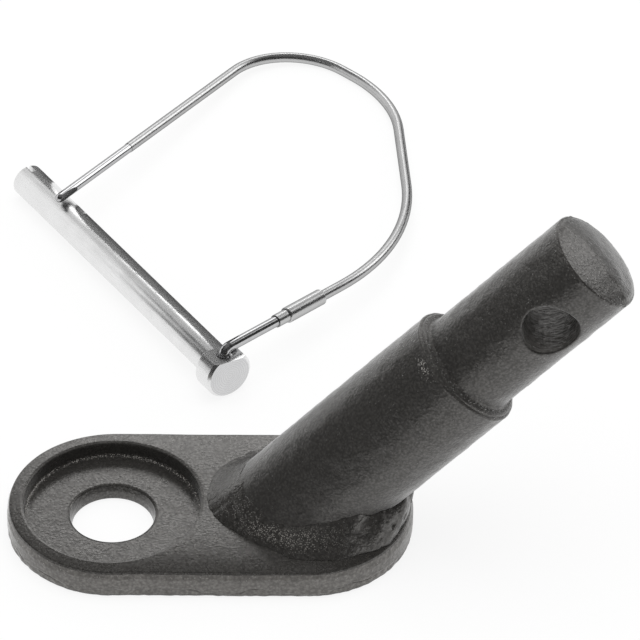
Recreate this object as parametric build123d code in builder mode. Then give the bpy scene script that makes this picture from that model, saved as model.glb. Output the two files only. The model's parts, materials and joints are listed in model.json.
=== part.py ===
from build123d import *
import os
from math import asin, atan2, cos, degrees, hypot, radians, sin, tan

# Axle plate: a steel tab with round ends, clamped under the wheel's axle nut
plate_width = 30.0
plate_end_spacing = 27.5
plate_thickness = 5.0
plate_top_round = 0.8
plate_bottom_round = 0.5
axle_bore_diameter = 12.0
axle_bore_chamfer = 0.3
recess_diameter = 25.0
recess_depth = 2.6
recess_rim_round = 0.25

# Hitch stub: a turned bar that leans out from the plate, with a thinner nose for the coupler
stub_axis_x = 26.5
stub_angle = 47.5
stub_diameter = 18.0
nose_diameter = 15.0
shoulder_distance = 34.3
nose_length = 25.0
nose_crown = 0.5
nose_edge_round = 0.3
shoulder_round = 1.0
shoulder_root_round = 0.4
cross_bore_diameter = 8.0
cross_bore_distance = 15.9

# Weld bead: a fillet weld all round the foot of the stub
weld_height = 3.6
weld_toe_reach_back = 0.95
weld_toe_reach_side = 3.5
weld_toe_edge = 0.25
weld_crown = 0.35
weld_edge_margin = 0.1

# Lock pin: a plain pin with a slotted tip and a cross-drilled head
pin_diameter = 5.0
pin_reach = 55.0
pin_tip_chamfer = 0.35
tip_slot_width = 0.7
tip_slot_depth = 1.9
head_diameter = 7.4
head_length = 3.8
head_chamfer = 0.4
head_flat_step = 0.1
head_hole_countersink = 0.35
dimple_diameter = 2.0
dimple_depth = 0.5
dimple_distance = 41.3
dimple_turn = 28.0

# Place of the lock pin, lying on the floor behind the plate
pin_head_x = 15.2
pin_head_y = 30.1
pin_heading = -56.7
pin_rest_margin = 0.15

# Bail: spring wire from the head's cross hole round to the tip of the pin
bail_wire_diameter = 1.55
leg_diameter = 1.42
link_diameter = 1.6
link_clearance = 0.15
link_running_clearance = 0.05
link_bend_radius = 0.95
link_stem_end_gap = 0.6
leg_nose_distance = 44.0
leg_nose_overrun = 1.0
leg_length = 17.5
leg_run = 58.4
leg_lean = 22.3
crown_distance = 0.6
crown_reach = 60.1
link_run = 40.6
link_lean = 12.9
near_tip_radius = 11.3
crown_radius = 20.8
near_head_radius = 36.5

# Ferrule: the sleeve that joins the wire to the link
ferrule_diameter = 2.4
ferrule_length = 7.4
ferrule_distance = 12.9
ferrule_edge_round = 0.2
ferrule_fit = 0.02
tongue_diameter = 1.95
tongue_length = 2.2

# Values that follow from the sizes above
plate_end_radius = plate_width / 2
stub_radius = stub_diameter / 2
nose_radius = nose_diameter / 2
nose_end = shoulder_distance + nose_length
lean = radians(stub_angle)
stub_dir = Vector(cos(lean), 0, sin(lean))
stub_foot = Vector(stub_axis_x, 0, plate_thickness)
stub_half_span = stub_radius / sin(lean)
foot_cut = stub_radius / tan(lean)
pin_radius = pin_diameter / 2
head_radius = head_diameter / 2
link_radius = link_diameter / 2
wire_radius = bail_wire_diameter / 2
head_flat = pin_radius + head_flat_step
bail_height = head_flat + link_clearance + link_radius

# Bail corners in the pin's own frame: x towards the head, y towards the bow, from the head's cross hole
leg_dir = Vector(-sin(radians(leg_lean)), cos(radians(leg_lean)))
link_dir = Vector(-sin(radians(link_lean)), cos(radians(link_lean)))
leg_nose = Vector(-leg_nose_distance, -leg_nose_overrun)
leg_joint = leg_nose + leg_dir * leg_length
tip_corner = leg_nose + leg_dir * leg_run
crown_corner = leg_nose + Vector(crown_distance, crown_reach)
head_corner = link_dir * link_run
link_joint_distance = ferrule_distance + ferrule_length / 2
link_joint = link_dir * link_joint_distance
bow_corners = [(c.X, c.Y) for c in (leg_joint, tip_corner, crown_corner, head_corner, link_joint)]
bow_radii = [near_tip_radius, crown_radius, near_head_radius]

# Rest of the lock pin: head, tip and bow all touch the floor
with BuildLine() as bow_plan:
    FilletPolyline(*bow_corners, radius=bow_radii)
bow_reach = bow_plan.line.bounding_box().max.Y
pin_dip = asin((head_radius - pin_radius) / pin_reach)
reach_level = bow_reach * cos(pin_dip)
rise_level = bail_height * cos(pin_dip)
drop_needed = head_radius * cos(pin_dip) + crown_corner.X * sin(pin_dip) - wire_radius
bail_fall = asin(drop_needed / hypot(reach_level, rise_level)) + atan2(rise_level, reach_level)
heading = radians(pin_heading)
pin_dir = Vector(cos(heading) * cos(pin_dip), sin(heading) * cos(pin_dip), sin(pin_dip))
level_side = Vector(-sin(heading), cos(heading), 0)
level_up = pin_dir.cross(level_side)
pin_side = level_side * cos(bail_fall) - level_up * sin(bail_fall)
pin_up = pin_dir.cross(pin_side)
pin_origin = Vector(pin_head_x, pin_head_y, head_radius * cos(pin_dip) + pin_rest_margin)
pin_plane = Plane(origin=pin_origin, x_dir=pin_dir, z_dir=pin_up)
bail_plane = pin_plane.offset(bail_height)


def pin_point(x, y, z):
    return pin_origin + pin_dir * x + pin_side * y + pin_up * z


def pin_vector(flat_dir):
    return pin_dir * flat_dir.X + pin_side * flat_dir.Y


# Axle plate
with BuildPart() as axle_plate:
    with BuildSketch(Plane(origin=(plate_end_spacing / 2, 0, 0))):
        SlotCenterToCenter(plate_end_spacing, plate_width)
    extrude(amount=plate_thickness)
    fillet(axle_plate.faces().sort_by(Axis.Z)[-1].edges(), radius=plate_top_round)
    fillet(axle_plate.faces().sort_by(Axis.Z)[0].edges(), radius=plate_bottom_round)
    with BuildSketch(Plane.XY.offset(plate_thickness)):
        Circle(recess_diameter / 2)
    extrude(amount=-recess_depth, mode=Mode.SUBTRACT)
    rim = axle_plate.edges(Select.LAST).sort_by(Axis.Z)[-1]
    fillet(rim, radius=recess_rim_round)
    with BuildSketch(Plane.XY):
        Circle(axle_bore_diameter / 2)
    extrude(amount=plate_thickness, mode=Mode.SUBTRACT)
    bore_mouth = axle_plate.edges(Select.LAST).sort_by(Axis.Z)[-1]
    chamfer(bore_mouth, length=axle_bore_chamfer)
axle_plate.part.label = "axle_plate"

# Hitch stub, turned about its leaning axis and mitred flat on the plate; its profile is drawn towards
# the upper flank, which puts the seam of the turned faces well to one side of the cross bore
flank = Vector(-1, 1, 1)
with BuildPart() as hitch_stub:
    with BuildSketch(Plane(origin=stub_foot, x_dir=stub_dir, z_dir=stub_dir.cross(flank))) as turned:
        with BuildLine():
            Polyline(
                (nose_end + nose_crown, 0),
                (-2 * foot_cut, 0),
                (-2 * foot_cut, stub_radius),
                (shoulder_distance, stub_radius),
                (shoulder_distance, nose_radius),
                (nose_end, nose_radius),
            )
            TangentArc((nose_end + nose_crown, 0), (nose_end, nose_radius), tangent=(0, 1))
        make_face()
        fillet(turned.vertices().sort_by_distance((shoulder_distance, stub_radius))[0], radius=shoulder_round)
        fillet(turned.vertices().sort_by_distance((shoulder_distance, nose_radius))[0], radius=shoulder_root_round)
        fillet(turned.vertices().sort_by_distance((nose_end, nose_radius))[0], radius=nose_edge_round)
    revolve(axis=Axis(stub_foot, stub_dir))
    split(bisect_by=Plane.XY.offset(plate_thickness), keep=Keep.TOP)
    bore_centre = stub_foot + stub_dir * (shoulder_distance + cross_bore_distance)
    with BuildSketch(Plane(origin=bore_centre, x_dir=stub_dir, z_dir=(0, -1, 0))):
        Circle(cross_bore_diameter / 2)
    extrude(amount=stub_diameter, both=True, mode=Mode.SUBTRACT)
hitch_stub.part.label = "hitch_stub"

# Weld bead, lofted from its toe on the plate to its toe on the stub
weld_back = stub_axis_x - stub_half_span - weld_toe_reach_back
weld_front = plate_end_spacing + plate_end_radius - plate_top_round - weld_edge_margin
weld_top_x = stub_axis_x + weld_height / tan(lean)
weld_mid_x = (weld_back + weld_front) / 4 + weld_top_x / 2
toe_half_length = (weld_front - weld_back) / 2
toe_half_width = stub_radius + weld_toe_reach_side
top_half_length = stub_half_span + weld_toe_edge
top_half_width = stub_radius + weld_toe_edge
with BuildPart() as weld_bead:
    with BuildSketch(Plane(origin=((weld_back + weld_front) / 2, 0, plate_thickness))):
        Ellipse(toe_half_length, toe_half_width)
    with BuildSketch(Plane(origin=(weld_mid_x, 0, plate_thickness + weld_height / 2))):
        Ellipse((toe_half_length + top_half_length) / 2 + weld_crown,
                (toe_half_width + top_half_width) / 2 + weld_crown)
    with BuildSketch(Plane(origin=(weld_top_x, 0, plate_thickness + weld_height))):
        Ellipse(top_half_length, top_half_width)
    loft()
    with BuildSketch(Plane(origin=stub_foot, x_dir=(0, 1, 0), z_dir=stub_dir)):
        Circle(stub_radius)
    extrude(amount=shoulder_distance, both=True, mode=Mode.SUBTRACT)
weld_bead.part.label = "weld_bead"

# Lock pin, turned about its own axis
with BuildPart() as lock_pin:
    with BuildSketch(pin_plane):
        with BuildLine():
            Polyline(
                (-pin_reach, 0),
                (-pin_reach, pin_radius - pin_tip_chamfer),
                (-pin_reach + pin_tip_chamfer, pin_radius),
                (-head_length / 2, pin_radius),
                (-head_length / 2, head_radius - head_chamfer),
                (-head_length / 2 + head_chamfer, head_radius),
                (head_length / 2 - head_chamfer, head_radius),
                (head_length / 2, head_radius - head_chamfer),
                (head_length / 2, 0),
                close=True,
            )
        make_face()
    revolve(axis=Axis(pin_origin, pin_dir))
    with BuildSketch(Plane(origin=pin_point(-pin_reach, 0, 0), x_dir=pin_dir, z_dir=pin_up)):
        Rectangle(2 * tip_slot_depth, tip_slot_width)
    extrude(amount=pin_diameter, both=True, mode=Mode.SUBTRACT)
    with BuildSketch(pin_plane.offset(head_flat)):
        Rectangle(2 * head_length, 2 * head_diameter)
    extrude(amount=head_diameter, mode=Mode.SUBTRACT)
    with BuildSketch(pin_plane):
        Circle(link_radius + link_running_clearance)
    extrude(amount=head_diameter, both=True, mode=Mode.SUBTRACT)
    mouth = lock_pin.faces().sort_by_distance(pin_point(0, 0, head_flat))[0].edges().filter_by(GeomType.CIRCLE)
    chamfer(mouth.sort_by(SortBy.RADIUS)[0], length=head_hole_countersink)
    turn = radians(dimple_turn)
    dimple_out = pin_side * sin(turn) + pin_up * cos(turn)
    dimple_floor = pin_point(-dimple_distance, 0, 0) + dimple_out * (pin_radius - dimple_depth)
    with BuildSketch(Plane(origin=dimple_floor, x_dir=pin_dir, z_dir=dimple_out)):
        Circle(dimple_diameter / 2 - dimple_depth)
    extrude(amount=pin_radius, taper=-45, mode=Mode.SUBTRACT)
lock_pin.part.label = "lock_pin"

# Bail bow: straight runs and tangent bends of round wire
with BuildPart() as bail_bow:
    with BuildLine(bail_plane) as bow_path:
        FilletPolyline(*bow_corners, radius=bow_radii)
    with BuildSketch(Plane(origin=bow_path.line @ 0, z_dir=bow_path.line % 0)):
        Circle(wire_radius)
    sweep(path=bow_path.line)
bail_bow.part.label = "bail_bow"

# Bail leg: a polished rod with a ball nose that lies over the pin
leg_origin = pin_point(leg_nose.X, leg_nose.Y, bail_height)
leg_axis = pin_vector(leg_dir)
leg_radius = leg_diameter / 2
with BuildPart() as bail_leg:
    with BuildSketch(Plane(origin=leg_origin, x_dir=leg_axis, z_dir=pin_up)):
        with BuildLine():
            Polyline((-leg_radius, 0), (leg_length, 0), (leg_length, leg_radius), (0, leg_radius))
            TangentArc((-leg_radius, 0), (0, leg_radius), tangent=(0, 1))
        make_face()
    revolve(axis=Axis(leg_origin, leg_axis))
bail_leg.part.label = "bail_leg"

# Bail link: a rod that turns down through the head's cross hole
link_origin = pin_point(0, 0, bail_height)
link_axis = pin_vector(link_dir)
stem_length = bail_height + head_radius - link_stem_end_gap
with BuildPart() as bail_link:
    with BuildLine(Plane(origin=link_origin, x_dir=link_axis, z_dir=link_axis.cross(pin_up))) as link_path:
        FilletPolyline((link_joint_distance, 0), (0, 0), (0, -stem_length), radius=link_bend_radius)
    with BuildSketch(Plane(origin=link_path.line @ 0, z_dir=link_path.line % 0)):
        Circle(link_radius)
    sweep(path=link_path.line)
bail_link.part.label = "bail_link"

# Ferrule with a narrower tongue, bored for the wire on one side and the link on the other
ferrule_end = ferrule_distance + ferrule_length
tongue_start = ferrule_distance - tongue_length
with BuildPart() as bail_ferrule:
    with BuildSketch(Plane(origin=link_origin, x_dir=link_axis, z_dir=pin_up)) as sleeve:
        with BuildLine():
            Polyline(
                (tongue_start, link_radius + ferrule_fit),
                (tongue_start, tongue_diameter / 2),
                (ferrule_distance, tongue_diameter / 2),
                (ferrule_distance, ferrule_diameter / 2),
                (ferrule_end, ferrule_diameter / 2),
                (ferrule_end, wire_radius + ferrule_fit),
                (link_joint_distance, wire_radius + ferrule_fit),
                (link_joint_distance, link_radius + ferrule_fit),
                close=True,
            )
        make_face()
        fillet(sleeve.vertices().group_by(Axis.Y)[-1], radius=ferrule_edge_round)
    revolve(axis=Axis(link_origin, link_axis))
bail_ferrule.part.label = "bail_ferrule"

# One file for each piece, named as its node
os.makedirs("parts", exist_ok=True)
export_step(axle_plate.part, "parts/axle_plate.step")
export_step(hitch_stub.part, "parts/hitch_stub.step")
export_step(weld_bead.part, "parts/weld_bead.step")
export_step(lock_pin.part, "parts/lock_pin.step")
export_step(bail_bow.part, "parts/bail_bow.step")
export_step(bail_leg.part, "parts/bail_leg.step")
export_step(bail_link.part, "parts/bail_link.step")
export_step(bail_ferrule.part, "parts/bail_ferrule.step")
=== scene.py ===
import json
from math import atan2, cos, pi, radians, sin, sqrt

import bmesh
import bpy
import numpy as np
from mathutils import Matrix, Vector


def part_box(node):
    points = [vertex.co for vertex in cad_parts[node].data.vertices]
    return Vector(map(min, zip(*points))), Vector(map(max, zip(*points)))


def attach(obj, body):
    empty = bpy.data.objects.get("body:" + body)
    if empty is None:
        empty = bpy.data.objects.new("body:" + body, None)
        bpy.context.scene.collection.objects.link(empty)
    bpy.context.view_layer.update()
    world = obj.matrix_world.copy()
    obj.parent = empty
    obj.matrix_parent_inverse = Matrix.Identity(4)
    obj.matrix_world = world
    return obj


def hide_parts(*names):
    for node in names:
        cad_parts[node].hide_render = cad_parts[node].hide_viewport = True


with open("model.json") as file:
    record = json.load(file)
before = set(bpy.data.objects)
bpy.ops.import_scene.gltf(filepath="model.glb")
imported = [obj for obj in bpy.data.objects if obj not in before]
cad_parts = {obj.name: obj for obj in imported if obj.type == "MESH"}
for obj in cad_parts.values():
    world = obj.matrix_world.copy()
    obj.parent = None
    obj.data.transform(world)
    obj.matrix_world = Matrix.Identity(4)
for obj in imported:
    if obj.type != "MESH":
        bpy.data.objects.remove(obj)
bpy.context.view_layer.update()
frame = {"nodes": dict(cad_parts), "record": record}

mounts = {m["name"]: m for m in frame["record"]["mounts"]}
MM = 0.001

# Sizes in millimetres, read from the frame
plate_low, plate_high = (np.array(corner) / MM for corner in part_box("axle_plate"))
end_radius = (plate_high[1] - plate_low[1]) / 2
plate_spacing = plate_high[0] - plate_low[0] - 2 * end_radius
plate_top = plate_high[2]
recess_floor = mounts["nut_seat"]["pos_m"][2] / MM
axle_radius = mounts["axle_bore"]["dims"]["r_mm"]
nose_radius = mounts["stub_nose"]["dims"]["r_mm"]
cross_radius = mounts["cross_bore"]["dims"]["r_mm"]
stub_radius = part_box("hitch_stub")[1][1] / MM
stub_axis = np.array(mounts["stub_nose"]["axis"])
stub_axis = stub_axis / np.linalg.norm(stub_axis)
stub_side = np.array([0.0, 1.0, 0.0])
stub_up = np.cross(stub_axis, stub_side)
nose_middle = np.array(mounts["stub_nose"]["pos_m"]) / MM
middle_reach = (nose_middle[2] - plate_top) / stub_axis[2]
stub_foot = nose_middle - stub_axis * middle_reach
cross_reach = (np.array(mounts["cross_bore"]["pos_m"]) / MM - stub_foot) @ stub_axis

# Sizes in millimetres that the frame doesn't give
recess_radius = 12.5
nose_length = 25.0
shoulder_reach = middle_reach - nose_length / 2
nose_end = shoulder_reach + nose_length


def waves(points, wavelength, seed, count=30):
    """A smooth random field of about one unit at points in millimetres, made of plane waves."""
    rng = np.random.default_rng(seed)
    heading = rng.normal(size=(count, 3))
    heading /= np.linalg.norm(heading, axis=1)[:, None]
    pitch = 2 * pi / wavelength * rng.uniform(0.7, 1.4, (count, 1))
    phase = rng.uniform(0, 2 * pi, count)
    return np.cos(points @ (heading * pitch).T + phase).sum(axis=-1) * sqrt(2 / count)


def step(values, low, high):
    """Zero below low, one above high, and a smooth rise between them."""
    t = np.clip((values - low) / (high - low), 0, 1)
    return t * t * (3 - 2 * t)


def round_table(angles, table):
    """Smooth closed curve through (degrees, value) pairs, read at angles in degrees."""
    at, value = np.array(table, float).T
    at = np.concatenate([at - 360, at, at + 360])
    value = np.tile(value, 3)
    k = np.clip(np.searchsorted(at, angles) - 1, 1, len(at) - 3)
    slope = (value[2:] - value[:-2]) / (at[2:] - at[:-2])
    gap = at[k + 1] - at[k]
    t = (angles - at[k]) / gap
    rise = value[k + 1] - value[k]
    start, end = slope[k - 1] * gap, slope[k] * gap
    return value[k] + start * t + (3 * rise - 2 * start - end) * t**2 + (start + end - 2 * rise) * t**3


def ring_quads(rows, columns, close_rows=False):
    """Faces between rows of points, each row a closed ring."""
    row = np.arange(rows if close_rows else rows - 1)[:, None]
    column = np.arange(columns)[None, :]
    after, beside = (row + 1) % rows, (column + 1) % columns
    here, there = row * columns, after * columns
    quads = [here + column, here + beside, there + beside, there + column]
    return np.stack(quads, axis=-1)


def make_piece(name, points, faces, material, node, body="hitch", patch=None, painted_glint_specks=None):
    """A smooth mesh of points in millimetres that rides on a body and stands for a node.

    A patch is (first face, last face, material) for a stretch of faces with its own finish.
    The painted glint specks are a share from none to one at each point, for places with a coarser grain and
    lighter dots painted into the coat's colour as glints."""
    mesh = bpy.data.meshes.new(name)
    mesh.from_pydata((np.asarray(points) * MM).tolist(), [], faces)
    mesh.materials.append(material)
    if patch:
        mesh.materials.append(patch[2])
        for face in mesh.polygons[patch[0]:patch[1]]:
            face.material_index = 1
    shell = bmesh.new()
    shell.from_mesh(mesh)
    bmesh.ops.recalc_face_normals(shell, faces=shell.faces)
    shell.to_mesh(mesh)
    shell.free()
    mesh.shade_smooth()
    # The share goes to the coat as a point attribute, for raised specks with painted glints
    if painted_glint_specks is not None:
        layer = mesh.attributes.new("painted_glint_specks", "FLOAT", "POINT")
        layer.data.foreach_set("value", np.ravel(painted_glint_specks))
    piece = bpy.data.objects.new(name, mesh)
    bpy.context.scene.collection.objects.link(piece)
    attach(piece, body)
    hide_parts(node)
    return piece


# Materials
def new_material(name):
    """An empty material with one Principled shader."""
    material = bpy.data.materials.new(name)
    material.use_nodes = True
    tree = material.node_tree
    tree.nodes.clear()
    output = tree.nodes.new("ShaderNodeOutputMaterial")
    shader = tree.nodes.new("ShaderNodeBsdfPrincipled")
    tree.links.new(shader.outputs["BSDF"], output.inputs["Surface"])
    return material, tree, shader


def add(tree, kind, inputs=None, **settings):
    """A node with its settings, and its inputs set or linked."""
    node = tree.nodes.new(kind)
    for key, value in settings.items():
        setattr(node, key, value)
    for key, value in (inputs or {}).items():
        if isinstance(value, bpy.types.NodeSocket):
            tree.links.new(value, node.inputs[key])
        else:
            node.inputs[key].default_value = value
    return node


def math(tree, operation, first, second=0.0, third=0.0):
    return add(tree, "ShaderNodeMath", {0: first, 1: second, 2: third}, operation=operation).outputs[0]


def ramp(tree, fac, low, high, start, end):
    """Linear map of fac from low..high to start..end, held at both ends."""
    inputs = {"Value": fac, "From Min": low, "From Max": high, "To Min": start, "To Max": end}
    return add(tree, "ShaderNodeMapRange", inputs).outputs["Result"]


def place(tree, turn=0.0, stretch=(1, 1, 1)):
    """Object coordinates, turned about Z and then drawn out along the turned axes."""
    where = add(tree, "ShaderNodeTexCoord").outputs["Object"]
    inputs = {"Vector": where, "Rotation": (0, 0, turn), "Scale": stretch}
    return add(tree, "ShaderNodeMapping", inputs, vector_type="TEXTURE").outputs["Vector"]


def noise(tree, where, scale, detail=2.0, roughness=0.5, distortion=0.0):
    inputs = {"Vector": where, "Scale": scale, "Detail": detail, "Roughness": roughness,
              "Distortion": distortion}
    return add(tree, "ShaderNodeTexNoise", inputs).outputs["Fac"]


def cells(tree, where, scale, output="Distance"):
    return add(tree, "ShaderNodeTexVoronoi", {"Vector": where, "Scale": scale}).outputs[output]


def mix_colour(tree, fac, first, second):
    node = add(tree, "ShaderNodeMix", {"Factor": fac}, data_type="RGBA")
    node.inputs["A"].default_value = (*first, 1)
    node.inputs["B"].default_value = (*second, 1)
    return node.outputs["Result"]


# Black coat: tones of its hollows and crests, the darker hollows being painted shade in the grain, its gloss,
# and specks of coarser grain with painted glints as lighter dots, scales per metre
coat_warmth = np.array([1.0, 0.95, 0.88])
coat_hollow_painted_shade, coat_crest = 0.023, 0.038
coat_shine, coat_tint = (0.34, 0.64), (1.0, 0.975, 0.945, 1)
coat_ior, rim_roughness = 1.8, 0.28
pebble_share, pebble_depth, crest_range = 0.9, 0.5, (0.15, 0.6)
speck_scale, speck_share, speck_height, painted_glint_gain, painted_glint_base = 5000.0, 0.714, 1.2, 34.0, 1.5
speck_choice, speck_dot = (-0.06, -0.02), (0.1, 0.5)
patch_scale, patch_height, gloss_scale, gloss_range = 160.0, 0.12, 420.0, (0.3, 0.7)


def black_coat(name, grain_depth, grain_scale, stretch=(1, 1, 1), gloss=(0.25, 0.29), tone=1.0, rim=0.2):
    """Satin black powder coat: fine grain with painted shade in its hollows, patchy gloss, a pale rim, and
    raised specks with painted glints where there are specks.
    """
    material, tree, shader = new_material(name)
    where = place(tree, stretch=stretch)
    leather = noise(tree, where, grain_scale, detail=2.0, roughness=0.6, distortion=0.4)
    pebble = cells(tree, where, grain_scale * pebble_share)
    painted_glint_specks = add(tree, "ShaderNodeAttribute", attribute_name="painted_glint_specks").outputs["Fac"]
    chance = math(tree, "MULTIPLY_ADD", painted_glint_specks, -speck_share, cells(tree, where, speck_scale, "Color"))
    chosen = ramp(tree, chance, *speck_choice, 1.0, 0.0)
    dot = ramp(tree, cells(tree, where, speck_scale), *speck_dot, 1.0, 0.0)
    glint = math(tree, "MULTIPLY", dot, chosen)
    height = math(tree, "MULTIPLY_ADD", pebble, -pebble_depth, leather)
    height = math(tree, "MULTIPLY_ADD", glint, speck_height, height)
    bump = add(tree, "ShaderNodeBump", {"Height": height, "Strength": 1.0, "Distance": grain_depth * MM})
    tree.links.new(bump.outputs["Normal"], shader.inputs["Normal"])
    # Colour follows the grain's height and random patches: hollows darker than crests as painted shade, and
    # tone that differs at random
    patches = noise(tree, place(tree), patch_scale, detail=3.0)
    patched = math(tree, "MULTIPLY_ADD", patches, patch_height, height)
    grain_shade_and_glints = ramp(tree, patched, *crest_range, 0.0, 1.0)
    # Lighter dots at the chosen specks: painted glints in the colour, over their real bump
    gain = math(tree, "MULTIPLY_ADD", math(tree, "POWER", painted_glint_specks, 3.0), painted_glint_gain, painted_glint_base)
    grain_shade_and_glints = math(tree, "MULTIPLY_ADD", glint, gain, grain_shade_and_glints)
    warm = coat_warmth * tone
    colour = mix_colour(tree, grain_shade_and_glints, coat_hollow_painted_shade * warm, coat_crest * warm)
    colour.node.clamp_factor = False
    tree.links.new(colour, shader.inputs["Base Color"])
    tree.links.new(ramp(tree, grain_shade_and_glints, 0.0, 1.0, *coat_shine), shader.inputs["Specular IOR Level"])
    sheen = ramp(tree, noise(tree, place(tree), gloss_scale, detail=4.0), *gloss_range, *gloss)
    tree.links.new(sheen, shader.inputs["Roughness"])
    shader.inputs["IOR"].default_value = coat_ior
    shader.inputs["Specular Tint"].default_value = coat_tint
    shader.inputs["Sheen Weight"].default_value = rim
    shader.inputs["Sheen Roughness"].default_value = rim_roughness
    return material


# Bright metals: grey tones, gloss, line and scuff scales per metre, and the turning rings
zinc_tones, zinc_gloss = (0.74, 0.86), (0.22, 0.32)
steel_tones, steel_gloss, steel_edge = ((0.42, 0.42, 0.43), (0.60, 0.60, 0.60)), (0.06, 0.16), 0.4
line_scale, line_depth, cloud_scale, scuff_scale = 4200.0, 0.004 * MM, 420.0, 1500.0
ring_pitch, ring_tone = 0.36 * MM, (0.62, 0.62, 0.63)
ring_base, ring_swing, ring_facing = 0.6, 0.12, (0.9, 0.98)


def turned_rings(tree, centre, heading):
    """A share of grey on faces square to a turned bar's axis, in rings round it."""
    places = add(tree, "ShaderNodeTexCoord").outputs
    vector = "ShaderNodeVectorMath"
    offset = add(tree, vector, {0: places["Object"], 1: centre}, operation="SUBTRACT").outputs["Vector"]
    across = add(tree, vector, {0: offset, 1: heading}, operation="CROSS_PRODUCT").outputs["Vector"]
    radius = add(tree, vector, {0: across}, operation="LENGTH").outputs["Value"]
    square = add(tree, vector, {0: places["Normal"], 1: heading}, operation="DOT_PRODUCT").outputs["Value"]
    rings = math(tree, "SINE", math(tree, "MULTIPLY", radius, 2 * pi / ring_pitch))
    share = math(tree, "MULTIPLY_ADD", rings, ring_swing, ring_base)
    facing = ramp(tree, math(tree, "ABSOLUTE", square), *ring_facing, 0.0, 1.0)
    return math(tree, "MULTIPLY", share, facing)


def zinc_satin(name, turn=0.0, draw=1.0, tone=1.0, edge=1.0, axis=None):
    """Bright zinc plate with fine lines drawn out along one heading; edge darkens what is seen aslant.

    An axis is (point, heading) of a turned bar, whose square ends get turning rings."""
    material, tree, shader = new_material(name)
    lines = noise(tree, place(tree, turn=turn, stretch=(draw, 1, 1)), line_scale, detail=2.0)
    clouds = noise(tree, place(tree), cloud_scale, detail=3.0)
    colour = mix_colour(tree, clouds, *[(grey * tone,) * 3 for grey in zinc_tones])
    if axis:
        shade = mix_colour(tree, turned_rings(tree, *axis), (1, 1, 1), ring_tone)
        both = add(tree, "ShaderNodeMix", {"Factor": 1.0}, data_type="RGBA", blend_type="MULTIPLY")
        tree.links.new(colour, both.inputs["A"])
        tree.links.new(shade, both.inputs["B"])
        colour = both.outputs["Result"]
    tree.links.new(colour, shader.inputs["Base Color"])
    tree.links.new(ramp(tree, lines, 0.3, 0.7, *zinc_gloss), shader.inputs["Roughness"])
    bump = add(tree, "ShaderNodeBump", {"Height": lines, "Strength": 0.5, "Distance": line_depth})
    tree.links.new(bump.outputs["Normal"], shader.inputs["Normal"])
    shader.inputs["Specular Tint"].default_value = (edge, edge, edge, 1)
    shader.inputs["Metallic"].default_value = 1.0
    return material


def polished_steel(name):
    """Polished rod with faint scuffs."""
    material, tree, shader = new_material(name)
    scuffs = noise(tree, place(tree), scuff_scale, detail=3.0)
    colour = mix_colour(tree, scuffs, *steel_tones)
    tree.links.new(colour, shader.inputs["Base Color"])
    tree.links.new(ramp(tree, scuffs, 0.35, 0.7, *steel_gloss), shader.inputs["Roughness"])
    shader.inputs["Specular Tint"].default_value = (steel_edge, steel_edge, steel_edge, 1)
    shader.inputs["Metallic"].default_value = 1.0
    return material


# Axle plate: blanked from sheet, so its top edge is drawn down and its side has a torn lower band
def stadium(t):
    """Spine point and outward normal at a share t of the plate's outline, anticlockwise from the front."""
    half = plate_spacing + pi * end_radius
    lap, along = np.divmod(t * 2 * half, half)
    run = np.minimum(along, plate_spacing)
    heading = lap * pi - pi / 2 + np.maximum(along - plate_spacing, 0) / end_radius
    x = np.where(lap == 0, run, plate_spacing - run)
    return np.stack([x, 0 * x], 1), np.stack([np.cos(heading), np.sin(heading)], 1)


edge_lean, edge_round, edge_skin = 0.3, 0.22, 0.04
edge_inset = edge_skin + edge_lean + edge_round
roll_depth, roll_bias, roll_width = 0.4, 0.4, 2.8


def roll(plan):
    """How far the plate's top is drawn down at plan points, most along its front edge."""
    nearest = np.clip(plan[:, 0], 0, plate_spacing)
    inset = end_radius - np.hypot(plan[:, 0] - nearest, plan[:, 1])
    depth = roll_depth * (1 - roll_bias * plan[:, 1] / end_radius)
    return depth * np.exp(-np.maximum(inset - edge_inset, 0) / roll_width)


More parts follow.
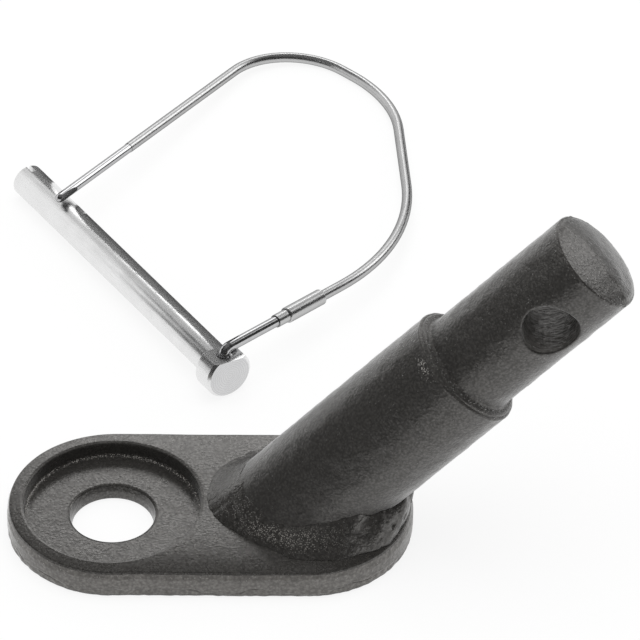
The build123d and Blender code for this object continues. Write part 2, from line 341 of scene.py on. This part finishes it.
def plate_skin(material, painted_light_side_material):
    """The plate as rings of points, up the bore, over the recess and the top, down the side and under."""
    columns = 600
    spine, normal = stadium((np.arange(columns) + 0.5) / columns)
    rim_angle = np.arctan2((spine + normal * end_radius)[:, 1], (spine + normal * end_radius)[:, 0])
    ray = np.stack([np.cos(rim_angle), np.sin(rim_angle)], 1)
    edge = np.column_stack([spine + normal * end_radius, np.zeros(columns)])
    bottom_round, tear_line, lip_line = 0.5, 1.3, 3.2
    torn_inset, crack_width, crack_depth, edge_waver, top_film = 0.08, 0.1, 0.14, 0.05, 0.012
    tear_height = tear_line + 0.28 * waves(edge, 9.0, 5) + 0.12 * waves(edge, 2.6, 6)
    lip_height = lip_line + 0.16 * waves(edge, 6.0, 7) + 0.07 * waves(edge, 1.8, 8)
    tear_depth = crack_depth * step(waves(edge, 7.0, 12), -0.6, 0.4)
    floor_fillet, rim_round, rim_width, rim_drop, bore_edge = 0.35, 0.15, 0.3, 0.06, 0.1
    film, lip_drop = 0.22, 1.0

    def ring(plan, height):
        return np.column_stack([plan, np.broadcast_to(height, columns)])

    def circle(radius, height):
        return ring(ray * np.reshape(radius, (-1, 1)), height)

    uneven = edge_waver * (1 + np.clip(waves(edge, 15.0, 4), -1, 1))

    def outline(inset, height):
        return ring(spine + normal * np.reshape(end_radius - uneven - inset, (-1, 1)), height)

    rings = [circle(axle_radius + bore_edge, 0.0)]
    wall, lip_foot = axle_radius - film, recess_floor - lip_drop
    rings += [circle(wall, z) for z in np.linspace(2 * bore_edge, lip_foot, 5)]
    for f in np.linspace(0, 1, 6)[1:]:
        rings.append(circle(wall + (film + bore_edge) * f, lip_foot + lip_drop * f))
    floor_start, floor_end = axle_radius + bore_edge, recess_radius - floor_fillet
    rings += [circle(r, recess_floor) for r in np.linspace(floor_start, floor_end, 15)[1:]]
    for a in np.linspace(0, pi / 2, 5)[1:]:
        height = recess_floor + floor_fillet * (1 - cos(a))
        rings.append(circle(recess_radius - floor_fillet * (1 - sin(a)), height))
    rim_end = recess_radius + rim_round + rim_width
    rim_top = plate_top - roll(ray * rim_end)
    wall_foot, wall_top = recess_floor + floor_fillet, rim_top - rim_drop - rim_round
    rings += [circle(recess_radius, wall_foot + (wall_top - wall_foot) * f) for f in np.linspace(0, 1, 7)[1:]]
    for a in np.linspace(0, pi / 2, 5)[1:]:
        rings.append(circle(recess_radius + rim_round * (1 - cos(a)), wall_top + rim_round * sin(a)))
    for f in np.linspace(0, 1, 5)[1:]:
        rings.append(circle(recess_radius + rim_round + rim_width * f, rim_top - rim_drop * (1 - f)))
    inner, outer = rings[-1], outline(edge_inset, plate_top)
    for f in np.linspace(0, 1, 44)[1:]:
        flat = inner * (1 - f) + outer * f
        flat[:, 2] = plate_top - roll(flat)
        rings.append(flat)
    edge_top = plate_top - roll(outer) - edge_round
    tilt = atan2(edge_lean, edge_top.mean() - lip_height.mean())
    for a in np.linspace(0, pi / 2 - tilt, 6)[1:]:
        rings.append(outline(edge_inset - edge_round * sin(a), edge_top + edge_round * cos(a)))
    lean_inset, lean_top = edge_inset - edge_round * cos(tilt), edge_top + edge_round * sin(tilt)
    first_side_row = len(rings) + 1
    for f in np.linspace(0, 1, 9)[1:]:
        inset = lean_inset + (edge_skin - lean_inset) * f
        rings.append(outline(inset, lean_top + (lip_height - lean_top) * f))
    for f in np.linspace(0, 1, 36)[1:]:
        height = lip_height + (bottom_round - lip_height) * f
        torn = step(tear_height - height, -crack_width, crack_width)
        crack = np.exp(-((height - tear_height) / crack_width) ** 2)
        rough = waves(outline(0, height), 1.3, 9) * 0.03
        rings.append(outline(edge_skin + torn * (torn_inset + rough) + tear_depth * crack, height))
    last_side_row = len(rings) - 1
    last_inset = end_radius - uneven - np.einsum("ij,ij->i", rings[-1][:, :2] - spine, normal)
    for a in np.linspace(0, pi / 2, 5)[1:]:
        rings.append(outline(last_inset + bottom_round * (1 - cos(a)), bottom_round * (1 - sin(a))))
    outer = rings[-1]
    rings += [outer * (1 - f) + rings[0] * f for f in np.linspace(0, 1, 18)[1:-1]]
    points = np.stack(rings)
    top = step(points[:, :, 2], recess_floor - 0.1, recess_floor)
    points[:, :, 2] -= top * (top_film + 0.003 * waves(points, 2.4, 11))
    faces = ring_quads(len(rings), columns, close_rows=True).reshape(-1, 4).tolist()

    # Specks with painted glints, lighter dots in the coat's colour, in the recess's corner and along the
    # upper part of the plate's side
    corner_specks, corner_width = 1.1, 0.5
    side_specks, side_foot, side_head = 0.33, (2.9, 3.3), (4.2, 4.6)
    x, y, z = np.moveaxis(points, -1, 0)
    corner = ((np.hypot(x, y) - recess_radius) / corner_width) ** 2 + ((z - recess_floor) / corner_width) ** 2
    band = step(z, *side_foot) * (1 - step(z, *side_head))
    inset = end_radius - np.hypot(x - np.clip(x, 0, plate_spacing), y)
    painted_glint_specks = corner_specks * np.exp(-corner) + side_specks * band * (inset < 1)
    # The plate's side takes a lighter copy of the coat: painted light, for the light the white floor throws
    # up on it
    patch = (first_side_row * columns, last_side_row * columns, painted_light_side_material)
    return make_piece("plate_skin", points.reshape(-1, 3), faces, material, "axle_plate",
                      patch=patch, painted_glint_specks=painted_glint_specks)


# Hitch stub: a turned bar with a shoulder, a crowned end and a drilled cross bore
def stub_skin(material, bore_material):
    """The stub as rings of points from its mitred foot to its crowned end, with the cross bore let in."""
    columns = 320
    theta = (np.arange(columns) + 0.5) * 2 * pi / columns - pi / 2
    around = np.outer(np.cos(theta), stub_side) + np.outer(np.sin(theta), stub_up)
    shoulder_round, root_round, tip_round, crown = 1.0, 0.45, 0.3, 0.9
    lip_height, lip_turn, groove_depth, groove_turn, lip_width = 0.06, 1.3, 0.16, 0.85, 0.15
    ridge_turn, ridge_place, ridge_height, ridge_front, ridge_back = radians(29), -1.5, 0.32, 1.8, 4.5
    paint_film, drip_height, drip_width, drip_inset = 0.03, 0.14, 0.35, 0.2
    foot = -stub_radius * np.sin(theta) * stub_up[2] / stub_axis[2]
    profile = []
    bar_end = shoulder_reach - shoulder_round
    profile += [(foot + (bar_end - foot) * k, stub_radius) for k in np.linspace(0, 1, 92)]
    for a in np.linspace(pi / 2, 0, 23)[1:]:
        lip = lip_height * np.exp(-((a - lip_turn) / lip_width) ** 2)
        groove = groove_depth * np.exp(-((a - groove_turn) / lip_width) ** 2)
        arc = shoulder_round + lip - groove
        profile.append((bar_end + arc * cos(a), stub_radius - shoulder_round + arc * sin(a)))
    for a in np.linspace(pi, 1.5 * pi, 6):
        profile.append((shoulder_reach + root_round * (1 + cos(a)), nose_radius + root_round * (1 + sin(a))))
    first_nose_row = len(profile)
    wall_end = nose_end - tip_round
    profile += [(s, nose_radius) for s in np.linspace(shoulder_reach + root_round, wall_end, 108)[1:]]
    last_nose_row = len(profile) - 1
    for a in np.linspace(pi / 2, 0.15, 7)[1:]:
        profile.append((wall_end + tip_round * cos(a), nose_radius - tip_round * (1 - sin(a))))
    edge_reach, edge_radius = profile[-1]
    for r in np.linspace(edge_radius, 0, 34)[1:-1]:
        profile.append((edge_reach + crown * (1 - (r / edge_radius) ** 2), r))
    reach = np.stack([np.broadcast_to(s, columns) for s, r in profile])
    radius = np.stack([np.broadcast_to(r, columns) for s, r in profile]).astype(float)
    plain = stub_foot + reach[:, :, None] * stub_axis + radius[:, :, None] * around
    radius -= paint_film + 0.018 * waves(plain, 3.2, 21) + 0.008 * waves(plain, 1.3, 22)
    drips = step(waves(plain, 1.5, 23), 1.0, 1.9) * np.exp(-((reach - wall_end) / drip_width) ** 2)
    radius += np.where(radius > edge_radius - drip_inset, drip_height * drips, 0)
    ridge_line = ridge_place + 0.25 * waves(plain, 3.0, 24)
    behind = radius * np.cos(theta + ridge_turn) - ridge_line
    rise, fall = np.minimum(behind, 0) / ridge_front, np.maximum(behind, 0) / ridge_back
    ridge = ridge_height * np.exp(rise - fall**2)
    reach = reach + ridge * step(reach, edge_reach, edge_reach + 0.15)
    points = stub_foot + reach[:, :, None] * stub_axis + radius[:, :, None] * around
    points = points.reshape(-1, 3)
    quads = ring_quads(len(profile), columns)

    # Specks with painted glints all over, more on both edges, most on a patch beside the shoulder, and some
    # in the bore
    shoulder_glint_reach, shoulder_glint_turn, shoulder_glint_length, shoulder_glint_spread = shoulder_reach - 1.7, radians(126), 0.8, 0.24
    shoulder_glint_specks, brow_specks, brow_width, plain_specks, bore_specks = 0.85, 0.3, 0.7, 0.18, 0.3
    shoulder_glint = ((reach - shoulder_glint_reach) / shoulder_glint_length) ** 2 + ((theta - shoulder_glint_turn) / shoulder_glint_spread) ** 2
    brows = [np.exp(-((reach - at) / brow_width) ** 2) for at in (shoulder_reach, wall_end)]
    painted_glint_specks = np.ravel(shoulder_glint_specks * np.exp(-shoulder_glint) + brow_specks * sum(brows) + plain_specks)

    # The window round each mouth of the cross bore, in rows and columns
    window = 5.4
    rows = [k for k in range(first_nose_row, last_nose_row + 1) if abs(reach[k, 0] - cross_reach) < window]
    near = [i for i in range(columns) if abs(nose_radius * sin(theta[i])) < window and cos(theta[i]) > 0]
    row_a, row_b, col_a, col_b = rows[0], rows[-1], near[0], near[-1]
    keep = np.ones(quads.shape[:2], bool)
    keep[row_a:row_b, col_a:col_b] = False
    keep[row_a:row_b, columns - 1 - col_b:columns - 1 - col_a] = False
    loop = [(row_a, c) for c in range(col_a, col_b)] + [(r, col_b) for r in range(row_a, row_b)]
    loop += [(row_b, c) for c in range(col_b, col_a, -1)] + [(r, col_a) for r in range(row_b, row_a, -1)]
    loop = np.array(loop)
    front = loop[:, 0] * columns + loop[:, 1]
    back = loop[:, 0] * columns + columns - 1 - loop[:, 1]

    # Rings from the front window through the bore to the back one
    def local(index):
        offset = points[index] - stub_foot
        return offset @ stub_axis - cross_reach, offset @ stub_up

    along, across = local(front)
    spin, out = np.arctan2(across, along), np.hypot(along, across)
    mouth_round = 0.3
    mouth = cross_radius + mouth_round

    def bore_ring(r, depth, side):
        lift = r * np.sin(spin)
        skin = np.sqrt((nose_radius - paint_film) ** 2 - lift**2)
        return (r * np.cos(spin), lift, side * (skin - depth))

    def half(side):
        rings = [bore_ring(out + (mouth - out) * f, 0, side) for f in np.linspace(0, 1, 6)[1:]]
        for a in np.linspace(0, pi / 2, 4)[1:]:
            rings.append(bore_ring(mouth - mouth_round * sin(a), mouth_round * (1 - cos(a)), side))
        return rings

    rings = half(1)
    mouth_rows = len(rings)
    wall_front, wall_back = rings[-1], half(-1)[-1]
    for f in np.linspace(0, 1, 40)[1:-1]:
        y = wall_front[2] * (1 - f) + wall_back[2] * f
        spot = np.stack([cross_radius * np.cos(spin), cross_radius * np.sin(spin), 2.2 * y], 1)
        r = cross_radius + 0.03 * waves(spot, 1.5, 31) + 0.03 * waves(spot, 0.8, 32)
        rings.append((r * np.cos(spin), r * np.sin(spin), y))
    rings += half(-1)[::-1]
    start = len(points)
    bore = [stub_foot + np.outer(cross_reach + a, stub_axis) + np.outer(b, stub_up) + np.outer(c, stub_side)
            for a, b, c in rings]
    order = [front] + [start + k * len(front) + np.arange(len(front)) for k in range(len(rings))] + [back]
    points = np.concatenate([points, *bore])
    strip = [np.stack([a, np.roll(a, -1), np.roll(b, -1), b], 1) for a, b in zip(order[:-1], order[1:])]

    # The foot's flat end and the tip's centre close the mesh
    foot_centre, tip_centre = len(points), len(points) + 1
    points = np.concatenate([points, [stub_foot, stub_foot + stub_axis * reach[-1].mean()]])
    ring = np.arange(columns)
    last = (len(profile) - 1) * columns + ring
    fans = [(foot_centre, int(b), int(a)) for a, b in zip(ring, np.roll(ring, -1))]
    fans += [(tip_centre, int(a), int(b)) for a, b in zip(last, np.roll(last, -1))]
    faces = quads[keep].tolist() + np.concatenate(strip).tolist() + fans
    used = np.unique(np.concatenate([np.ravel(f) for f in faces]))
    renumber = np.zeros(len(points), int)
    renumber[used] = np.arange(len(used))
    faces = [[int(renumber[v]) for v in f] for f in faces]
    first_strip = int(keep.sum()) + mouth_rows * len(front)
    last_strip = first_strip + (len(order) - 1 - 2 * mouth_rows) * len(front)
    patch = (first_strip, last_strip, bore_material)
    painted_glint_specks = np.concatenate([painted_glint_specks, np.full(len(points) - len(painted_glint_specks), bore_specks)])
    return make_piece("stub_skin", points[used], faces, material, "hitch_stub", patch=patch,
                      painted_glint_specks=painted_glint_specks[used])


# Weld bead: a hand-run fillet, uneven in width and height round the foot of the stub
toe_centre = 27.5
toe_radius = [(0, 14.2), (13, 14.1), (41, 14.1), (66, 13.1), (92, 12.7), (119, 12.9), (148, 14.2),
              (180, 14.15), (200, 13.2), (216, 11.9), (238, 11.6), (258, 12.0), (275, 12.6), (294, 13.0),
              (319, 14.2), (347, 14.1)]
bead_height = [(0, 4.2), (60, 3.9), (120, 4.0), (170, 4.1), (198, 4.2), (222, 3.4), (240, 2.9), (256, 2.9),
               (271, 3.9), (284, 4.9), (300, 4.4), (318, 4.3), (340, 4.3)]
bead_fullness = [(0, 0.9), (50, 0.7), (95, 0.35), (130, 0.25), (150, 0.25), (168, 0.5), (186, 0.95),
                 (204, 1.1), (230, 1.25), (257, 1.3), (283, 0.85), (305, 1.15), (335, 1.2)]
pits = [(318, 0.5, 0.55, 0.4), (333, 0.35, 0.5, 0.45), (345, 0.6, 0.45, 0.4), (309, 0.3, 0.4, 0.25)]
crease_start, crease_sweep, crease_depth, crease_width = 240.0, 77.0, 0.5, 0.34


def weld_skin(material):
    """The bead as rings of points from its toe on the plate up to its top on the stub, and back under it."""
    columns, steps = 560, 34
    overlap_height, overlap_length, toe_sink, root_sink, top_sink = 0.3, 7, 0.05, 0.04, 0.12
    ridge_height, ridge_turn, ridge_spread, ridge_share, ridge_width = 0.09, 112, 20, 0.07, 0.05
    # A band of specks with painted glints across the bead's front, heavier to one side: lighter dots standing
    # in for a speckled highlight
    glint_band_turn, glint_band_spread, glint_band_share, glint_band_width = 238, 50, 0.5, 0.4
    plain_specks, glint_band_specks, heavy_glint_specks = 0.2, 0.5, 0.2
    turn = np.linspace(0, 360, columns, endpoint=False)
    a = np.radians(turn)
    half_span = stub_radius / stub_axis[2]
    level = np.full(columns, plate_top)
    root = np.column_stack([stub_foot[0] + half_span * np.cos(a), stub_radius * np.sin(a), level])
    polar = np.degrees(np.arctan2(root[:, 1], root[:, 0] - toe_centre)) % 360
    toe_out = round_table(polar, toe_radius) + 0.10 * waves(root, 4.0, 41) + 0.04 * waves(root, 1.5, 42)
    toe_x = toe_centre + toe_out * np.cos(np.radians(polar))
    toe = np.column_stack([toe_x, toe_out * np.sin(np.radians(polar)), level])
    toe[:, 2] -= roll(toe)
    height = round_table(turn, bead_height) + 0.12 * waves(root, 3.6, 43) + 0.05 * waves(root, 1.4, 44)
    top = root + np.outer(height / stub_axis[2], stub_axis)
    outward = (toe + top) / 2 - root
    outward /= np.linalg.norm(outward, axis=1)[:, None]
    middle = (toe + top) / 2
    handle = root + (middle - root) * round_table(turn, bead_fullness)[:, None]
    calm = 1 - 0.6 * step(turn, 255, 285)
    rings, painted_glint_specks = [], []
    for k in np.linspace(0, 1, steps):
        ring = toe * (1 - k) ** 2 + handle * 2 * k * (1 - k) + top * k**2
        lumps = calm * (0.06 * waves(ring, 3.4, 45) + 0.03 * waves(ring, 1.5, 46))
        for at, share, wide, deep in pits:
            reach = np.hypot(np.radians((turn - at + 180) % 360 - 180) * toe_out, (k - share) * 5)
            lumps = lumps - deep * np.exp(-(reach / wide) ** 2)
        crease = np.radians(turn - crease_start + crease_sweep * k**1.6) * toe_out / crease_width
        groove = crease_depth * np.exp(-crease**2)
        overlap = overlap_height * step(crease, 0, 1) * np.exp(-np.maximum(crease, 0) / overlap_length)
        offset = lumps * 4 * k * (1 - k) + (overlap - groove) * min(1, 6 * k, 3 * (1 - k))
        ring = ring + outward * offset[:, None]
        off_ridge = ((turn - ridge_turn) / ridge_spread) ** 2 + ((k - ridge_share) / ridge_width) ** 2
        ridge = ridge_height * np.exp(-off_ridge)
        ring[:, 2] += ridge - toe_sink * (1 - k) ** 8
        rings.append(ring - outward * top_sink * k**8)
        # Share of painted glint specks: a plain share everywhere, and more in the glint band
        off_glint_band = ((turn - glint_band_turn) / glint_band_spread) ** 4 + ((k - glint_band_share) / glint_band_width) ** 4
        glint_band = (glint_band_specks + heavy_glint_specks * step(turn, 210, 245)) * np.exp(-off_glint_band)
        painted_glint_specks.append(plain_specks + glint_band)
    rings.append(root + [0, 0, -root_sink])
    points = np.stack(rings)
    faces = ring_quads(len(rings), columns, close_rows=True).reshape(-1, 4).tolist()
    painted_glint_specks.append(np.zeros(columns))
    return make_piece("weld_skin", points.reshape(-1, 3), faces, material, "weld_bead",
                      painted_glint_specks=np.stack(painted_glint_specks))


plate_coat = black_coat("black_coat_plate", grain_depth=0.028, grain_scale=2800.0)
stub_coat = black_coat("black_coat_stub", grain_depth=0.055, grain_scale=2800.0, gloss=(0.30, 0.34),
                       rim=0.9)
rough_coat = black_coat("black_coat_rough", grain_depth=0.08, grain_scale=2200.0)
bore_coat = black_coat("black_coat_bore", grain_depth=0.10, grain_scale=3400.0, stretch=(3.5, 1, 3.5),
                       gloss=(0.4, 0.5), tone=2.6)
# The side coat's tone lifts its colour: painted light thrown up from the floor
painted_light_side_coat = black_coat("black_coat_side_painted_light", grain_depth=0.06, grain_scale=2400.0, gloss=(0.34, 0.4),
                       tone=3.4, rim=0.9)
plate_skin(plate_coat, painted_light_side_coat)
stub_skin(stub_coat, bore_coat)
weld_skin(rough_coat)

# Finish of the lock pin and its bail, which keep their own shapes
pin_low, pin_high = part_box("lock_pin")
head_end, tip_end = np.array([pin_high[0], pin_low[1], 0]), np.array([pin_low[0], pin_high[1], 0])
pin_run = (tip_end - head_end) / np.linalg.norm(tip_end - head_end)
swing = frame["record"]["behaviour"]["joints"][0]
pin_axis = np.cross(np.cross(swing["axis"], pin_run), swing["axis"])
finishes = {
    "lock_pin": zinc_satin("zinc_pin", turn=atan2(pin_run[1], pin_run[0]), draw=14.0,
                           axis=(swing["pos_m"], pin_axis / np.linalg.norm(pin_axis))),
    # The wire and ferrule take darker zinc tones: painted shade, standing in for the darker surroundings they
    # reflect
    "bail_bow": zinc_satin("zinc_wire_painted_shade", tone=0.62, edge=0.3),
    "bail_ferrule": zinc_satin("zinc_ferrule_painted_shade", tone=0.66, edge=0.4),
    "bail_leg": polished_steel("polished_leg"),
    "bail_link": polished_steel("polished_link"),
}
for node, finish in finishes.items():
    for slot in frame["nodes"][node].material_slots:
        slot.material = finish


# Stage: white floor and surroundings, cards round it and overhead that show only in reflections, soft lamps
stage_middle = (0.025, 0.03, 0.01)
floor_glow, floor_radius, overhead_radius, overhead_height = 0.85, 0.55, 0.62, 0.62


def show_to(tree, lit):
    """One for rays from the camera, reflections and glass, times lit."""
    path = add(tree, "ShaderNodeLightPath")
    seen = math(tree, "MAXIMUM", path.outputs["Is Camera Ray"], path.outputs["Is Glossy Ray"])
    return math(tree, "MULTIPLY", math(tree, "MAXIMUM", seen, path.outputs["Is Transmission Ray"]), lit)


def white_world(ambient):
    world = bpy.data.worlds.new("white_studio")
    bpy.context.scene.world = world
    world.use_nodes = True
    tree = world.node_tree
    tree.nodes.clear()
    strength = math(tree, "ADD", show_to(tree, 1.0 - ambient), ambient)
    background = add(tree, "ShaderNodeBackground", {"Color": (1, 1, 1, 1), "Strength": strength})
    output = add(tree, "ShaderNodeOutputWorld")
    tree.links.new(background.outputs["Background"], output.inputs["Surface"])


def stage_disc(name, radius, height, material):
    mesh = bpy.data.meshes.new(name)
    shell = bmesh.new()
    bmesh.ops.create_circle(shell, cap_ends=True, segments=96, radius=radius)
    bmesh.ops.translate(shell, verts=shell.verts, vec=(*stage_middle[:2], height))
    shell.to_mesh(mesh)
    shell.free()
    mesh.materials.append(material)
    disc = bpy.data.objects.new(name, mesh)
    bpy.context.scene.collection.objects.link(disc)
    return disc


def floor_paper():
    """White paper that keeps a faint shadow and shows white to the camera and in reflections."""
    material, tree, shader = new_material("floor_paper")
    shader.inputs["Roughness"].default_value = 0.9
    shader.inputs["Specular IOR Level"].default_value = 0.1
    fibre = noise(tree, place(tree), 900.0, detail=3.0)
    paper = mix_colour(tree, fibre, (0.90, 0.90, 0.90), (0.93, 0.93, 0.93))
    tree.links.new(paper, shader.inputs["Base Color"])
    glow = add(tree, "ShaderNodeEmission", {"Color": (1, 1, 1, 1), "Strength": 1.0})
    blend = add(tree, "ShaderNodeMixShader", {"Fac": show_to(tree, floor_glow)})
    tree.links.new(shader.outputs["BSDF"], blend.inputs[1])
    tree.links.new(glow.outputs["Emission"], blend.inputs[2])
    output = next(n for n in tree.nodes if n.type == "OUTPUT_MATERIAL")
    tree.links.new(blend.outputs["Shader"], output.inputs["Surface"])
    return material


def reflection_only(card):
    """The card shows only in reflections: it neither hides anything nor casts a shadow."""
    card.visible_camera = False
    card.visible_diffuse = False
    card.visible_transmission = False
    card.visible_shadow = False


def arc_line(centre, radius, start, end):
    """Points round a centre between two headings in degrees."""
    spin = np.radians(np.linspace(start, end, 48))
    return np.stack([centre[0] + radius * np.cos(spin), centre[1] + radius * np.sin(spin), 0 * spin], 1)


def upright_card(name, line, low, high, material):
    """A card that stands over a line on the floor, between two heights."""
    columns = len(line)
    points = np.concatenate([line + [0, 0, low], line + [0, 0, high]])
    faces = [(k, k + 1, columns + k + 1, columns + k) for k in range(columns - 1)]
    mesh = bpy.data.meshes.new(name)
    mesh.from_pydata(points.tolist(), [], faces)
    mesh.materials.append(material)
    card = bpy.data.objects.new(name, mesh)
    bpy.context.scene.collection.objects.link(card)
    reflection_only(card)
    return card


def cloth(name, tone):
    material, tree, shader = new_material(name)
    weave = noise(tree, place(tree), 300.0)
    shades = [(tone * share,) * 3 for share in (0.8, 1.2)]
    tree.links.new(mix_colour(tree, weave, *shades), shader.inputs["Base Color"])
    shader.inputs["Roughness"].default_value = 1.0
    shader.inputs["Specular IOR Level"].default_value = 0.0
    return material


def soft_lamp(name, position, aim, size, power, in_reflections=True):
    light = bpy.data.lights.new(name, "AREA")
    light.shape, light.size, light.energy = "SQUARE", size, power
    lamp = bpy.data.objects.new(name, light)
    bpy.context.scene.collection.objects.link(lamp)
    lamp.location = position
    lamp.rotation_euler = (Vector(aim) - Vector(position)).to_track_quat("-Z", "Y").to_euler()
    lamp.visible_glossy = in_reflections
    return lamp


white_world(ambient=0.6)
stage_disc("floor", floor_radius, 0.0, floor_paper())
dark, grey, pale = cloth("dark_cloth", 0.06), cloth("grey_cloth", 0.25), cloth("pale_cloth", 0.28)
bright = cloth("light_cloth", 0.75)

# Dark cards round it, in metres and degrees: centre, radius, first and last heading, lower and upper height
stub_place, tip_place, foot_place, stage_place = (0.045, 0.0), (0.07, 0.0), (0.03, 0.0), (0.025, 0.0)
near_radius, tip_radius, foot_radius, far_radius = 0.115, 0.20, 0.042, 0.35
near_top, far_top = 0.11, 0.60
dark_cards = {
    "left_card": (stub_place, near_radius, 163, 252, 0.0, near_top),
    "left_back_card": (stub_place, near_radius, 150, 163, 0.02, near_top),
    "high_back_card": (stub_place, near_radius, 138, 150, 0.05, near_top),
    "right_front_card": (stage_place, far_radius, 315, 385, 0.03, far_top),
    "right_card": (tip_place, tip_radius, 30, 84, 0.004, 0.068),
    "front_card": (stage_place, far_radius, 225, 315, 0.02, far_top),
    "foot_card": (foot_place, foot_radius, 230, 285, 0.0, 0.009),
}
for name, (centre, radius, first, last, low, high) in dark_cards.items():
    upright_card(name, arc_line(centre, radius, first, last), low, high, dark)

# A light card along the plate's front side
side_gap, side_top = 5.5 * MM, 5.5 * MM
side_reach = end_radius * MM + side_gap
side_line = arc_line((0.0, 0.0), side_reach, 215, 270)
side_line = np.concatenate([side_line, [[plate_spacing * MM, -side_reach, 0.0]]])
upright_card("side_card", side_line, 0.0, side_top, bright)

# Pale cards along the lock pin, in metres: first and last distance from the head's end, upper height
pin_gap = 3.6 * MM
pin_side = np.array([pin_run[1], -pin_run[0], 0])
pin_cards = {
    "head_card": (0.0085, 0.0185, 0.018),
    "pin_card": (0.0185, 0.0495, 0.0125),
    "tip_card": (0.056, 0.072, 0.0125),
}
for name, (first, last, high) in pin_cards.items():
    line = np.stack([head_end + pin_run * first, head_end + pin_run * last]) + pin_side * pin_gap
    upright_card(name, line, 0.0, high, pale)

reflection_only(stage_disc("overhead_card", overhead_radius, overhead_height, grey))
soft_lamp("top_lamp", (0.0, 0.05, 1.0), stage_middle, size=0.9, power=6.0, in_reflections=False)
soft_lamp("back_lamp", (0.03, 0.77, 0.60), stage_middle, size=0.3, power=0.57)
soft_lamp("right_lamp", (0.70, 0.48, 0.42), stage_middle, size=0.4, power=0.8)

# Camera of the photograph, in millimetres and degrees
focal_pixels, picture_pixels, sensor_width = 5878.6, 640, 36.0
view_distance, view_elevation, view_azimuth, view_roll = 831.45, 39.518, -0.404, -0.545
view_right, view_up = 29.009, 29.439
e, az, bank = radians(view_elevation), radians(view_azimuth), radians(view_roll)
back = Vector((sin(az) * cos(e), -cos(az) * cos(e), sin(e)))
right = Vector((cos(az), sin(az), 0))
up = back.cross(right)
camera_data = bpy.data.cameras.new("camera")
camera_data.sensor_width = sensor_width
camera_data.lens = focal_pixels / picture_pixels * sensor_width
camera_data.clip_start = 0.01
camera = bpy.data.objects.new("camera", camera_data)
bpy.context.scene.collection.objects.link(camera)
axes = (cos(bank) * right - sin(bank) * up, sin(bank) * right + cos(bank) * up, back)
turned = Matrix(axes).transposed().to_4x4()
spot = (back * view_distance + right * view_right + up * view_up) * MM
camera.matrix_world = Matrix.Translation(spot) @ turned
bpy.context.scene.camera = camera
bpy.context.scene.view_settings.view_transform = "Standard"
